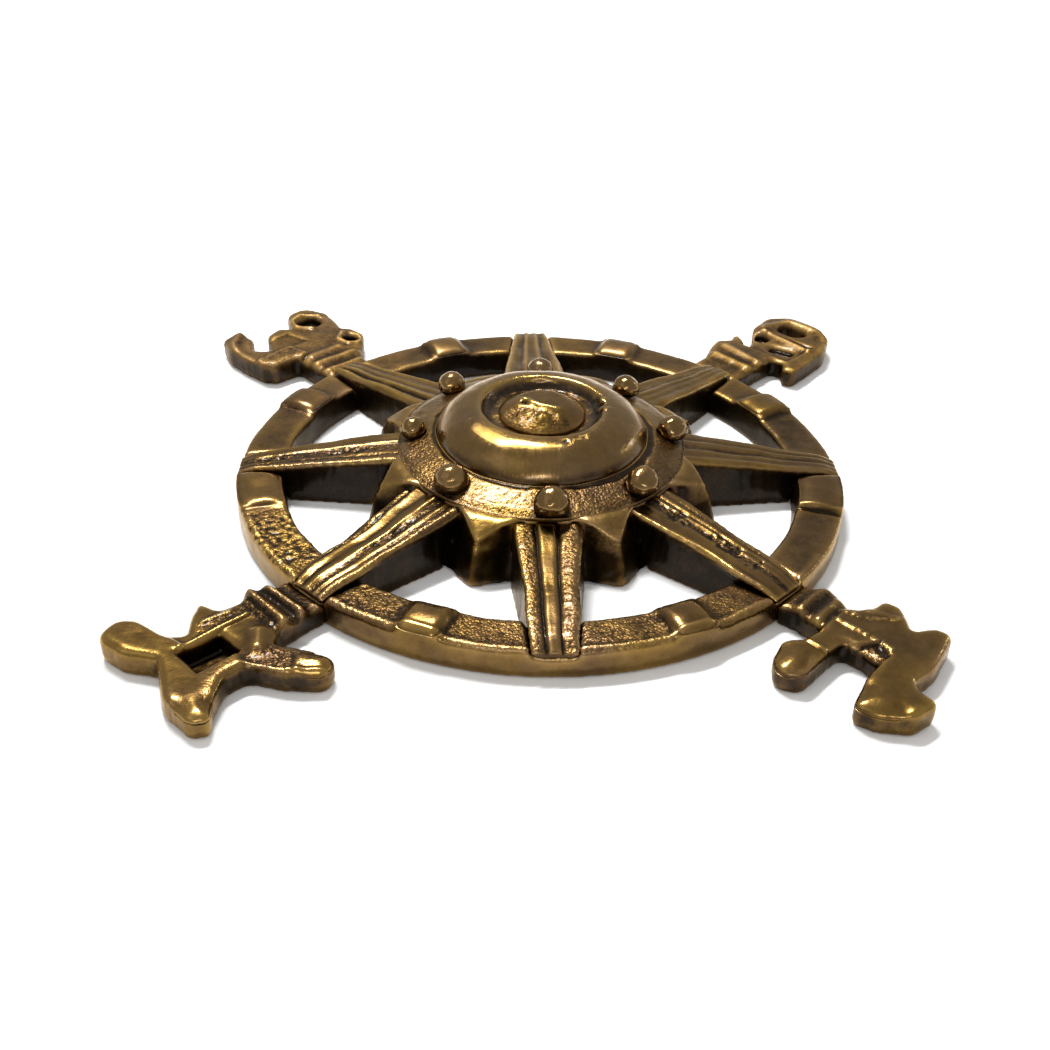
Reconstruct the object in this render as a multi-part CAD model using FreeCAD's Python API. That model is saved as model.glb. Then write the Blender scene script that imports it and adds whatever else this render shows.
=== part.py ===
# Compass rose plaque in cast brass: a rim on eight spokes, a star hub, a riveted
# bezel holding a hollow dome, and four ornamental finials on the diagonals.
# Millimetres. The origin is the rim's centre on the flat back plane, +Z points out
# of the front along the dome's axis, and the front spoke points along -Y.

import FreeCAD
import Part
import math
import os

# Rim: a flat ring whose inner wall is drafted.
RIM_OUTER_RADIUS = 60.0
RIM_INNER_RADIUS = 51.2
RIM_INNER_DRAFT = 0.9
RIM_HEIGHT = 5.6
RIM_EDGE_BREAK = 0.5

# Raised saddles on the rim, one in each gap between spokes, dressed by hand:
# middle angle, half angle of the flat top, rise above the rim.
SADDLES = [
    (27.0, 3.2, 1.6),
    (69.0, 3.0, 1.7),
    (111.0, 3.0, 1.7),
    (152.0, 3.2, 1.6),
    (189.8, 5.4, 1.2),
    (247.2, 2.8, 1.7),
    (294.4, 2.9, 1.6),
    (350.6, 5.6, 1.2),
]
SADDLE_FLANK = 1.8
SADDLE_ROUND = 1.1

# Spokes: tapered, drafted bars with a fluted top that climbs towards the hub.
SPOKE_ANGLES = {
    "spoke_front": 270.0,
    "spoke_front_right": 315.0,
    "spoke_right": 0.0,
    "spoke_back_right": 45.0,
    "spoke_back": 90.0,
    "spoke_back_left": 135.0,
    "spoke_left": 180.0,
    "spoke_front_left": 225.0,
}
SPOKE_INNER_RADIUS = 22.9
SPOKE_TOP_AT_HUB = 10.4
SPOKE_TOP_AT_RIM = 6.3
SPOKE_HALF_WIDTH_AT_HUB = 5.8
SPOKE_HALF_WIDTH_AT_RIM = 3.0
SPOKE_DRAFT_AT_HUB = 0.9
SPOKE_DRAFT_AT_RIM = 0.5
SPOKE_RIB_SHARE = 0.27
SPOKE_GROOVE_DEPTH = 0.7
SPOKE_BAND_DEPTH = 0.35

# Lap joints: how high the seats of the spoke ends lie in the rim and in the hub.
RIM_SEAT_HEIGHT = 3.4
RIM_LIP_WIDTH = 1.3
HUB_SEAT_HEIGHT = 5.0
SEAM_WIDTH = 0.9
SEAM_FLOOR = 4.3

# Hub: an eight-rayed star with sloping walls.
HUB_TOP = 11.5
HUB_FLOOR_TOP = 10.5
STAR_TOP_VALLEY_RADIUS = 28.9
STAR_TOP_TIP_RADIUS = 33.6
STAR_FOOT_VALLEY_RADIUS = 33.9
STAR_FOOT_TIP_RADIUS = 36.9
STAR_TIP_DROP = 2.2

# Bezel: the disc that clamps the dome's foot and the spokes' inner ends.
BEZEL_OUTER_RADIUS = 28.1
BEZEL_BORE_RADIUS = 20.7
BEZEL_EDGE_TOP = 11.8
BEZEL_INNER_TOP = 13.9
BEZEL_EDGE_BREAK = 0.4

# Dome: a hollow shell with a foot flange and a sunken ring around its centre.
DOME_FOOT_RADIUS = 22.7
DOME_FOOT_TOP = 11.5
DOME_LIP_RADIUS = 12.3
DOME_LIP_HEIGHT = 19.4
DOME_FLOOR_HEIGHT = 16.9
DOME_FLOOR_RADIUS = 10.4
DOME_WALL = 1.6

# Centre button, seated by a spigot in the dome's centre hole.
BUTTON_RADIUS = 6.6
BUTTON_TOP = 20.6
BUTTON_CROWN = 0.4
SPIGOT_RADIUS = 2.5
SPIGOT_LENGTH = 2.2

# Rivets through bezel, spoke and hub, peened by hand:
# angle, pitch radius, head radius.
RIVETS = [
    (271.6, 26.3, 3.5),
    (313.4, 26.3, 3.3),
    (2.4, 26.2, 3.1),
    (45.4, 26.3, 2.9),
    (88.4, 26.3, 2.9),
    (133.0, 26.4, 3.0),
    (178.6, 25.4, 2.6),
    (226.2, 25.4, 3.3),
]
RIVET_SHANK_RADIUS = 1.2
RIVET_SEAT = 12.4
RIVET_HEAD_LIFT = 0.9
RIVET_TAIL_RECESS = 0.3

# Pins and tenons at the rim.
PIN_RADIUS = 0.7
FINIAL_PIN_RADIUS = 0.9
PIN_CIRCLE_RADIUS = 56.8
PIN_BOTTOM = 0.3
PIN_TOP = 5.0
TENON_LENGTH = 5.0
TENON_HALF_WIDTH = 2.6
TENON_BOTTOM = 0.7
TENON_TOP = 2.7

# Finials: plates with raised bars and pads, sunk eyes and open windows. Corners are
# (distance from the rim's centre, offset across, corner radius). Bars are
# (start, end, width). Windows are (centre, half length, half width, corner radius,
# turn), and eyes, which stay closed at the back, have their depth after that.
FINIAL_HEIGHT = 4.4
FINIAL_RELIEF = 0.5
FINIAL_COLLAR = 1.0
FINIALS = {
    "finial_front_left": {
        "angle": 225.0,
        "outline": [
            (57.0, 4.3, 0.0),
            (63.6, 4.1, 1.5),
            (69.6, 4.3, 1.5),
            (72.3, 6.4, 1.2),
            (69.3, 11.6, 3.0),
            (67.6, 16.7, 2.0),
            (71.5, 18.7, 2.4),
            (76.1, 13.6, 4.0),
            (79.3, 7.9, 2.0),
            (83.6, 7.7, 4.0),
            (88.6, 11.0, 3.0),
            (91.3, 14.2, 1.4),
            (93.9, 12.0, 2.2),
            (93.6, 4.6, 5.0),
            (88.6, -3.7, 1.4),
            (91.9, -8.9, 5.0),
            (92.6, -15.4, 2.8),
            (87.5, -17.1, 2.6),
            (85.1, -14.1, 2.6),
            (84.0, -8.1, 2.0),
            (81.3, -5.7, 1.0),
            (77.5, -9.5, 1.6),
            (74.3, -11.9, 0.7),
            (73.6, -7.5, 1.2),
            (68.9, -6.9, 1.0),
            (65.9, -8.4, 0.8),
            (63.3, -6.1, 1.0),
            (57.0, -6.1, 0.0),
        ],
        "windows": [],
        "eyes": [((81.5, 0.6), 4.3, 3.1, 0.6, -3.0, 3.8)],
        "bars": [
            ((70.1, -2.8), (87.1, -3.9), 0.9),
            ((68.1, -5.9), (75.6, -6.4), 0.8),
            ((78.6, 7.1), (88.1, 9.6), 1.0),
            ((70.6, 15.7), (78.1, 7.4), 1.3),
        ],
        "pads": [
            [
                (93.3, 11.6, 2.0),
                (93.1, 4.9, 4.0),
                (88.1, -3.7, 1.5),
                (91.3, -9.1, 5.0),
                (92.1, -15.0, 2.5),
                (87.6, -16.5, 2.0),
                (85.8, -13.8, 2.0),
                (85.3, -4.4, 0.5),
                (86.6, 4.5, 0.5),
                (91.3, 13.2, 1.2),
            ],
            [(74.9, 2.4, 0.4), (71.5, 1.8, 0.4), (72.5, 5.6, 0.4), (75.3, 5.6, 0.4)],
        ],
        "collar": [((66.6, -7.9), (66.5, 2.4), 1.8), ((63.1, -5.4), (63.3, 3.6), 1.0)],
    },
    "finial_front_right": {
        "angle": 315.0,
        "outline": [
            (57.0, 5.5, 0.0),
            (62.3, 5.5, 1.0),
            (63.8, 7.2, 0.8),
            (66.0, 6.5, 1.0),
            (70.3, 4.2, 1.5),
            (72.6, 7.5, 1.4),
            (72.8, 10.8, 1.2),
            (76.0, 11.0, 1.2),
            (79.3, 8.1, 2.0),
            (81.0, 6.1, 1.0),
            (83.3, 10.1, 2.0),
            (86.6, 10.6, 2.2),
            (88.7, 1.0, 8.0),
            (88.1, -5.3, 4.0),
            (90.0, -6.8, 2.0),
            (93.9, -7.3, 1.4),
            (93.0, -12.7, 3.2),
            (88.3, -16.2, 3.0),
            (84.0, -17.2, 1.4),
            (83.2, -14.3, 1.4),
            (82.0, -9.6, 3.0),
            (81.5, -5.1, 1.2),
            (78.1, -4.3, 1.5),
            (74.1, -4.6, 1.2),
            (73.8, -8.0, 2.0),
            (74.3, -16.4, 2.2),
            (70.6, -18.9, 2.4),
            (67.6, -15.7, 2.8),
            (66.6, -11.1, 2.6),
            (68.9, -8.9, 1.0),
            (69.3, -3.6, 0.8),
            (63.6, -2.9, 1.0),
            (57.0, -3.6, 0.0),
        ],
        "windows": [],
        "eyes": [],
        "bars": [
            ((68.5, 3.6), (75.1, 3.7), 0.8),
            ((68.3, 0.4), (80.6, -1.6), 0.9),
            ((69.6, -9.2), (73.1, -9.2), 0.9),
            ((79.5, 1.8), (79.3, -5.1), 0.8),
        ],
        "pads": [
            [
                (83.6, 9.5, 1.8),
                (86.3, 10.0, 1.8),
                (88.1, 1.0, 8.0),
                (87.6, -5.5, 4.0),
                (89.8, -7.5, 2.0),
                (93.1, -8.0, 1.2),
                (92.5, -12.5, 2.8),
                (88.1, -15.7, 2.6),
                (84.4, -16.4, 1.2),
                (82.8, -9.6, 3.0),
                (82.1, 2.0, 2.0),
            ],
            [
                (73.5, -10.6, 0.6),
                (73.6, -16.0, 1.8),
                (70.6, -18.0, 2.0),
                (68.3, -15.6, 2.2),
                (68.1, -10.8, 1.0),
            ],
        ],
        "collar": [((65.5, 5.5), (64.6, -2.4), 1.6), ((61.5, 4.9), (61.5, -3.1), 1.0)],
    },
    "finial_back_right": {
        "angle": 45.0,
        "outline": [
            (57.0, 7.4, 0.0),
            (65.7, 8.0, 1.5),
            (71.3, 10.5, 1.5),
            (74.9, 11.5, 1.0),
            (77.1, 9.3, 0.8),
            (81.3, 10.7, 1.0),
            (79.5, 7.5, 0.8),
            (76.3, 4.1, 0.7),
            (81.1, 5.7, 2.0),
            (87.3, 9.5, 5.0),
            (93.9, 10.3, 3.6),
            (98.1, 6.2, 4.0),
            (98.3, -1.2, 4.4),
            (94.5, -6.9, 4.0),
            (88.1, -9.9, 5.0),
            (80.1, -10.7, 3.0),
            (73.7, -11.0, 1.2),
            (73.1, -8.3, 0.8),
            (75.7, -6.6, 1.0),
            (75.1, -3.9, 1.0),
            (69.1, -3.9, 1.0),
            (57.0, -4.3, 0.0),
        ],
        "windows": [((91.5, 1.6), 2.3, 3.7, 2.2, 0.0)],
        "eyes": [((81.1, -2.5), 1.4, 3.0, 1.2, 10.0, 2.2), ((83.6, 4.8), 1.6, 1.7, 1.4, 0.0, 2.2)],
        "bars": [
            ((85.7, 6.7), (84.1, -5.5), 1.1),
            ((77.7, -6.9), (85.5, -7.5), 1.1),
        ],
        "pads": [],
        "collar": [((73.1, 7.1), (74.1, -2.5), 2.0), ((67.9, 7.5), (66.9, -3.0), 1.3)],
    },
    "finial_back_left": {
        "angle": 135.0,
        "outline": [
            (57.0, 4.0, 0.0),
            (67.6, 3.6, 1.5),
            (71.7, 3.5, 1.0),
            (72.1, 10.0, 1.0),
            (74.7, 11.7, 1.2),
            (81.4, 12.0, 4.0),
            (87.1, 11.5, 3.0),
            (92.1, 9.5, 1.6),
            (92.5, 4.0, 1.4),
            (87.6, 4.3, 2.0),
            (82.7, 7.7, 1.2),
            (79.7, 5.3, 1.0),
            (86.9, 0.5, 1.5),
            (88.1, -3.8, 1.4),
            (85.3, -5.4, 0.8),
            (92.7, -10.1, 2.4),
            (92.9, -15.1, 3.2),
            (87.1, -17.5, 3.0),
            (82.1, -16.0, 2.0),
            (78.1, -14.5, 1.0),
            (76.3, -16.3, 1.5),
            (72.4, -16.5, 1.6),
            (67.6, -12.1, 3.0),
            (62.7, -7.7, 2.0),
            (57.0, -7.5, 0.0),
        ],
        "windows": [],
        "eyes": [((85.5, -10.7), 2.6, 2.9, 2.3, 0.0, 2.2), ((72.2, -12.3), 2.2, 1.8, 1.6, 0.0, 2.2)],
        "bars": [
            ((78.5, -2.8), (78.1, -8.7), 1.0),
            ((74.7, 9.9), (88.1, 9.7), 1.1),
            ((73.7, 0.7), (78.3, 8.3), 1.1),
        ],
        "pads": [],
        "collar": [((68.3, 1.5), (67.9, -7.7), 1.6), ((64.4, 3.0), (64.2, -6.7), 1.2)],
    },
}

CENTRE = FreeCAD.Vector(0.0, 0.0, 0.0)
UP = FreeCAD.Vector(0.0, 0.0, 1.0)
SPOKE_HUB_RADIUS = BEZEL_OUTER_RADIUS
SECTOR = 360.0 / len(SPOKE_ANGLES)


def at_angle(shape, angle):
    """A copy of a shape drawn along +X, turned about Z to its angle."""
    copy = shape.copy()
    copy.rotate(CENTRE, UP, angle)
    return copy


def between(low, high, share):
    return low + (high - low) * share


def turned(steps):
    """Solid of revolution about Z: a step is a point (r, z), or (middle, end) of an arc."""
    here = FreeCAD.Vector(steps[0][0], 0.0, steps[0][1])
    first = here
    edges = []
    for step in steps[1:]:
        is_arc = isinstance(step[0], tuple)
        target = step[1] if is_arc else step
        end = FreeCAD.Vector(target[0], 0.0, target[1])
        if is_arc:
            middle = FreeCAD.Vector(step[0][0], 0.0, step[0][1])
            edges.append(Part.Arc(here, middle, end).toShape())
        else:
            edges.append(Part.makeLine(here, end))
        here = end
    edges.append(Part.makeLine(here, first))
    return Part.Face(Part.Wire(edges)).revolve(CENTRE, UP, 360.0)


def rounded_face(corners, height):
    """Flat face at a height from (x, y, radius) corners, each turned through its arc."""
    points = [FreeCAD.Vector(x, y, height) for x, y, _ in corners]
    arcs = []
    for index, (x, y, radius) in enumerate(corners):
        here = points[index]
        back = points[index - 1] - here
        ahead = points[(index + 1) % len(points)] - here
        half_turn = back.getAngle(ahead) / 2.0
        reach = min(radius / math.tan(half_turn), 0.48 * back.Length, 0.48 * ahead.Length)
        fitted = reach * math.tan(half_turn)
        back.normalize()
        ahead.normalize()
        if fitted < 0.01:
            arcs.append((here, None, here))
            continue
        inward = back + ahead
        inward.normalize()
        depth = fitted / math.sin(half_turn) - fitted
        arcs.append((here + back * reach, here + inward * depth, here + ahead * reach))
    edges = []
    for index, (start, middle, end) in enumerate(arcs):
        if middle is not None:
            edges.append(Part.Arc(start, middle, end).toShape())
        following = arcs[(index + 1) % len(arcs)][0]
        if end.distanceToPoint(following) > 0.001:
            edges.append(Part.makeLine(end, following))
    return Part.Face(Part.Wire(edges))


def rounded_plate(corners, bottom, top):
    return rounded_face(corners, bottom).extrude(FreeCAD.Vector(0.0, 0.0, top - bottom))


def bar(start, end, width, bottom, top):
    """Round-ended raised bar between two points."""
    along = FreeCAD.Vector(end[0] - start[0], end[1] - start[1], 0.0)
    along.normalize()
    side = FreeCAD.Vector(-along.y, along.x, 0.0) * (width / 2.0)
    nose = along * (width / 2.0)
    a = FreeCAD.Vector(start[0], start[1], bottom)
    b = FreeCAD.Vector(end[0], end[1], bottom)
    edges = [
        Part.makeLine(a - side, b - side),
        Part.Arc(b - side, b + nose, b + side).toShape(),
        Part.makeLine(b + side, a + side),
        Part.Arc(a + side, a - nose, a - side).toShape(),
    ]
    return Part.Face(Part.Wire(edges)).extrude(FreeCAD.Vector(0.0, 0.0, top - bottom))


def plug(opening, bottom, top):
    """Round-cornered block that cuts an eye or a window."""
    centre, half_length, half_width, corner, turn = opening[:5]
    corners = [
        (half_length, half_width, corner),
        (-half_length, half_width, corner),
        (-half_length, -half_width, corner),
        (half_length, -half_width, corner),
    ]
    block = rounded_plate(corners, bottom, top)
    block.rotate(CENTRE, UP, turn)
    block.translate(FreeCAD.Vector(centre[0], centre[1], 0.0))
    return block


def saddle(middle, half_angle, rise):
    """Raised block across the rim, with sloping flanks, flush with the rim's outer wall."""
    half_top = RIM_OUTER_RADIUS * math.sin(math.radians(half_angle))
    half_foot = half_top + SADDLE_FLANK
    start = RIM_HEIGHT - RIM_EDGE_BREAK
    corners = [
        (-half_foot, start, 0.0),
        (half_foot, start, 0.0),
        (half_top, RIM_HEIGHT + rise, SADDLE_ROUND),
        (-half_top, RIM_HEIGHT + rise, SADDLE_ROUND),
    ]
    block = rounded_face(corners, 0.0)
    block = block.extrude(FreeCAD.Vector(0.0, 0.0, RIM_OUTER_RADIUS))
    block.rotate(CENTRE, FreeCAD.Vector(1.0, 1.0, 1.0), 120.0)
    ring = turned(
        [
            (RIM_INNER_RADIUS, start),
            (RIM_OUTER_RADIUS, start),
            (RIM_OUTER_RADIUS, RIM_HEIGHT + rise),
            (RIM_INNER_RADIUS + 0.3, RIM_HEIGHT + rise),
        ]
    )
    return at_angle(block, middle).common(ring)


def spoke_section(radius):
    """Drafted section with a middle rib between two grooves and sunk bands, at a radius."""
    share = (radius - SPOKE_HUB_RADIUS) / (RIM_OUTER_RADIUS - SPOKE_HUB_RADIUS)
    top = between(SPOKE_TOP_AT_HUB, SPOKE_TOP_AT_RIM, share)
    half = between(SPOKE_HALF_WIDTH_AT_HUB, SPOKE_HALF_WIDTH_AT_RIM, share)
    foot = half + between(SPOKE_DRAFT_AT_HUB, SPOKE_DRAFT_AT_RIM, share)
    rib = half * SPOKE_RIB_SHARE
    right_side = [
        (foot, 0.0),
        (half, top - 0.3),
        (half * 0.96, top),
        (half * 0.82, top),
        (half * 0.74, top - SPOKE_BAND_DEPTH),
        (rib * 1.9, top - SPOKE_BAND_DEPTH),
        (rib * 1.55, top - SPOKE_GROOVE_DEPTH),
        (rib * 1.25, top - SPOKE_GROOVE_DEPTH),
        (rib, top),
    ]
    left_side = [(-y, z) for y, z in reversed(right_side)]
    points = [FreeCAD.Vector(radius, y, z) for y, z in right_side + left_side]
    return Part.makePolygon(points + points[:1])


def spoke_blank(outer_radius):
    """One spoke along +X before its seats are cut: its end overlaps a lip left on the rim."""
    ends = [spoke_section(SPOKE_INNER_RADIUS), spoke_section(outer_radius + 2.0)]
    bar_shape = Part.makeLoft(ends, True, True)
    room = turned(
        [
            (SPOKE_INNER_RADIUS, 0.0),
            (outer_radius - RIM_LIP_WIDTH, 0.0),
            (outer_radius - RIM_LIP_WIDTH, SEAM_FLOOR),
            (outer_radius, SEAM_FLOOR),
            (outer_radius, HUB_TOP + 1.0),
            (BEZEL_OUTER_RADIUS, HUB_TOP + 1.0),
            (BEZEL_OUTER_RADIUS, HUB_FLOOR_TOP),
            (SPOKE_INNER_RADIUS, HUB_FLOOR_TOP),
        ]
    )
    return bar_shape.common(room)


def seam_cutter():
    """Wedge that opens a dark seam on both sides of a spoke's end in the rim's top."""
    inner = RIM_INNER_RADIUS - 2.0
    outer = RIM_OUTER_RADIUS + 1.0
    half_outer = SPOKE_HALF_WIDTH_AT_RIM + SEAM_WIDTH
    slope = (SPOKE_HALF_WIDTH_AT_HUB - SPOKE_HALF_WIDTH_AT_RIM) / (RIM_OUTER_RADIUS - SPOKE_HUB_RADIUS)
    half_inner = half_outer + slope * (outer - inner)
    corners = [
        (inner, -half_inner, 0.0),
        (outer, -half_outer, 0.0),
        (outer, half_outer, 0.0),
        (inner, half_inner, 0.0),
    ]
    return rounded_plate(corners, SEAM_FLOOR, HUB_TOP)


def star(height, valley_radius, tip_radius, half_width):
    """Closed 24-cornered star outline: a flat beside each spoke and a tip in each gap."""
    flat = math.degrees(math.asin(half_width / valley_radius))
    points = []
    for index in range(len(SPOKE_ANGLES)):
        middle = index * SECTOR
        for angle, radius in (
            (middle - flat, valley_radius),
            (middle + flat, valley_radius),
            (middle + SECTOR / 2.0, tip_radius),
        ):
            turn = math.radians(angle)
            points.append(FreeCAD.Vector(radius * math.cos(turn), radius * math.sin(turn), height))
    return Part.makePolygon(points + points[:1])


def hub_blank():
    foot_half = SPOKE_HALF_WIDTH_AT_HUB + SPOKE_DRAFT_AT_HUB - 0.4
    foot = star(0.0, STAR_FOOT_VALLEY_RADIUS, STAR_FOOT_TIP_RADIUS, foot_half)
    crown = star(HUB_TOP, STAR_TOP_VALLEY_RADIUS, STAR_TOP_TIP_RADIUS, SPOKE_HALF_WIDTH_AT_HUB)
    body = Part.makeLoft([foot, crown], True, True)
    room = turned(
        [
            (0.0, 0.0),
            (STAR_FOOT_TIP_RADIUS + 1.0, 0.0),
            (STAR_FOOT_TIP_RADIUS + 1.0, HUB_TOP - STAR_TIP_DROP - 0.8),
            (BEZEL_OUTER_RADIUS + 0.6, HUB_TOP),
            (BEZEL_OUTER_RADIUS, HUB_TOP),
            (BEZEL_OUTER_RADIUS, HUB_FLOOR_TOP),
            (0.0, HUB_FLOOR_TOP),
        ]
    )
    return body.common(room)


def bezel_blank():
    return turned(
        [
            (DOME_FOOT_RADIUS, HUB_FLOOR_TOP),
            (BEZEL_OUTER_RADIUS, HUB_FLOOR_TOP),
            (BEZEL_OUTER_RADIUS, BEZEL_EDGE_TOP - BEZEL_EDGE_BREAK),
            (BEZEL_OUTER_RADIUS - BEZEL_EDGE_BREAK, BEZEL_EDGE_TOP),
            (BEZEL_BORE_RADIUS, BEZEL_INNER_TOP),
            (BEZEL_BORE_RADIUS, DOME_FOOT_TOP),
            (DOME_FOOT_RADIUS, DOME_FOOT_TOP),
        ]
    )


def dome():
    inner_radius = BEZEL_BORE_RADIUS - DOME_WALL
    crest_inner = DOME_FLOOR_HEIGHT - DOME_WALL
    return turned(
        [
            (inner_radius, HUB_FLOOR_TOP),
            (DOME_FOOT_RADIUS, HUB_FLOOR_TOP),
            (DOME_FOOT_RADIUS, DOME_FOOT_TOP),
            (BEZEL_BORE_RADIUS, DOME_FOOT_TOP),
            (BEZEL_BORE_RADIUS, BEZEL_INNER_TOP),
            ((18.2, 17.3), (DOME_LIP_RADIUS + 0.6, DOME_LIP_HEIGHT)),
            ((DOME_LIP_RADIUS, DOME_LIP_HEIGHT), (DOME_LIP_RADIUS - 0.4, DOME_LIP_HEIGHT - 0.5)),
            ((11.3, 17.6), (DOME_FLOOR_RADIUS, DOME_FLOOR_HEIGHT)),
            (SPIGOT_RADIUS, DOME_FLOOR_HEIGHT),
            (SPIGOT_RADIUS, crest_inner),
            (DOME_LIP_RADIUS - 0.6, crest_inner),
            ((16.9, 14.0), (inner_radius, HUB_FLOOR_TOP + 0.3)),
        ]
    )


def centre_button():
    """Round lump with full sides and a low crown, on its spigot."""
    waist_height = between(DOME_FLOOR_HEIGHT, BUTTON_TOP, 0.6)
    return turned(
        [
            (0.0, DOME_FLOOR_HEIGHT - SPIGOT_LENGTH),
            (SPIGOT_RADIUS, DOME_FLOOR_HEIGHT - SPIGOT_LENGTH),
            (SPIGOT_RADIUS, DOME_FLOOR_HEIGHT),
            (BUTTON_RADIUS, DOME_FLOOR_HEIGHT),
            ((0.93 * BUTTON_RADIUS, waist_height), (0.66 * BUTTON_RADIUS, BUTTON_TOP - BUTTON_CROWN)),
            (0.0, BUTTON_TOP),
        ]
    )


def rivet(head_radius):
    """Rivet on the Z axis: a ball head on the bezel and a shank down to the back."""
    centre_height = RIVET_SEAT + RIVET_HEAD_LIFT
    seat_radius = math.sqrt(head_radius ** 2 - RIVET_HEAD_LIFT ** 2)
    return turned(
        [
            (0.0, RIVET_TAIL_RECESS),
            (RIVET_SHANK_RADIUS, RIVET_TAIL_RECESS),
            (RIVET_SHANK_RADIUS, RIVET_SEAT),
            (seat_radius, RIVET_SEAT),
            ((head_radius, centre_height), (0.0, centre_height + head_radius)),
        ]
    )


def pin(radius):
    length = PIN_TOP - PIN_BOTTOM
    return Part.makeCylinder(radius, length, FreeCAD.Vector(PIN_CIRCLE_RADIUS, 0.0, PIN_BOTTOM))


def pin_hole(radius):
    """Hole open at the back and blind in the spoke's end."""
    return Part.makeCylinder(radius, PIN_TOP, FreeCAD.Vector(PIN_CIRCLE_RADIUS, 0.0, 0.0))


def tenon():
    start = RIM_OUTER_RADIUS - TENON_LENGTH
    return Part.makeBox(
        TENON_LENGTH + 3.0,
        2.0 * TENON_HALF_WIDTH,
        TENON_TOP - TENON_BOTTOM,
        FreeCAD.Vector(start, -TENON_HALF_WIDTH, TENON_BOTTOM),
    )


def finial(design):
    """One finial along +X: a plate with relief, butted on the rim, and its tenon."""
    body = rounded_plate(design["outline"], 0.0, FINIAL_HEIGHT)
    base = FINIAL_HEIGHT - 1.0
    raised = [bar(a, b, width, base, FINIAL_HEIGHT + FINIAL_RELIEF) for a, b, width in design["bars"]]
    raised += [bar(a, b, width, base, FINIAL_HEIGHT + FINIAL_COLLAR) for a, b, width in design["collar"]]
    raised += [rounded_plate(pad, base, FINIAL_HEIGHT + FINIAL_RELIEF) for pad in design["pads"]]
    outline_wall = rounded_plate(design["outline"], 0.0, FINIAL_HEIGHT + 2.0)
    for piece in raised:
        body = body.fuse(piece.common(outline_wall))
    for window in design["windows"]:
        body = body.cut(plug(window, -1.0, FINIAL_HEIGHT + 2.0))
    for eye in design["eyes"]:
        body = body.cut(plug(eye, FINIAL_HEIGHT - eye[5], FINIAL_HEIGHT + 2.0))
    rim_cylinder = Part.makeCylinder(RIM_OUTER_RADIUS, HUB_TOP)
    return body.cut(rim_cylinder).fuse(tenon()).removeSplitter()


def rim_blank():
    ring = turned(
        [
            (RIM_INNER_RADIUS - RIM_INNER_DRAFT, 0.0),
            (RIM_OUTER_RADIUS, 0.0),
            (RIM_OUTER_RADIUS, RIM_HEIGHT - RIM_EDGE_BREAK),
            (RIM_OUTER_RADIUS - RIM_EDGE_BREAK, RIM_HEIGHT),
            (RIM_INNER_RADIUS, RIM_HEIGHT),
        ]
    )
    return ring.fuse([saddle(*place) for place in SADDLES])


def export(shape, node):
    shape.exportStep("parts/" + node + ".step")


os.makedirs("parts", exist_ok=True)

blank = spoke_blank(RIM_OUTER_RADIUS)
spokes = {node: at_angle(blank, angle) for node, angle in SPOKE_ANGLES.items()}
finial_angles = [design["angle"] for design in FINIALS.values()]

# Rim: seams and seats for the spoke ends.
rim_lower = Part.makeCylinder(RIM_OUTER_RADIUS + 1.0, RIM_SEAT_HEIGHT)
rim = rim_blank()
for node, spoke in spokes.items():
    rim = rim.cut(at_angle(seam_cutter(), SPOKE_ANGLES[node]))
    rim = rim.cut(spoke.cut(rim_lower))
seated_rim = rim

# Rim: pin holes under the spoke ends and sockets for the finials.
pin_holes = {}
for node, angle in SPOKE_ANGLES.items():
    radius = FINIAL_PIN_RADIUS if angle in finial_angles else PIN_RADIUS
    pin_holes[node] = at_angle(pin_hole(radius), angle)
    rim = rim.cut(pin_holes[node])
for angle in finial_angles:
    rim = rim.cut(at_angle(tenon(), angle))

# Hub: slots for the spokes' inner ends and rivet holes.
hub_lower = Part.makeCylinder(RIM_OUTER_RADIUS, HUB_SEAT_HEIGHT)
hub = hub_blank()
for spoke in spokes.values():
    hub = hub.cut(spoke.cut(hub_lower))

rivets = []
bezel = bezel_blank()
rivet_holes = []
for angle, pitch_radius, head_radius in RIVETS:
    turn = math.radians(angle)
    place = FreeCAD.Vector(pitch_radius * math.cos(turn), pitch_radius * math.sin(turn), 0.0)
    rivet_shape = rivet(head_radius)
    rivet_shape.translate(place)
    rivets.append(rivet_shape)
    hole = Part.makeCylinder(RIVET_SHANK_RADIUS, HUB_TOP + 3.0, place)
    rivet_holes.append(hole)
    spot_face = Part.makeCylinder(head_radius, HUB_TOP, place + UP * RIVET_SEAT)
    bezel = bezel.cut(spot_face)

for hole in rivet_holes:
    hub = hub.cut(hole)
    bezel = bezel.cut(hole)

for node, spoke in spokes.items():
    fitted = spoke.cut(seated_rim).cut(hub).cut(pin_holes[node])
    for hole in rivet_holes:
        fitted = fitted.cut(hole)
    export(fitted, node)

for node, design in FINIALS.items():
    shape = at_angle(finial(design).cut(pin_hole(FINIAL_PIN_RADIUS)), design["angle"])
    export(shape, node)

export(rim, "rim")
export(hub, "hub")
export(bezel, "bezel")
export(dome(), "dome")
export(centre_button(), "centre_button")
export(Part.makeCompound(rivets), "rivets")
cardinal_angles = [angle for angle in SPOKE_ANGLES.values() if angle not in finial_angles]
export(Part.makeCompound([at_angle(pin(PIN_RADIUS), angle) for angle in cardinal_angles]), "spoke_pins")
export(Part.makeCompound([at_angle(pin(FINIAL_PIN_RADIUS), angle) for angle in finial_angles]), "finial_pins")
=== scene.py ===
import math

import bmesh
import bpy
import numpy as np
from mathutils import Matrix, Vector, kdtree


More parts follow.
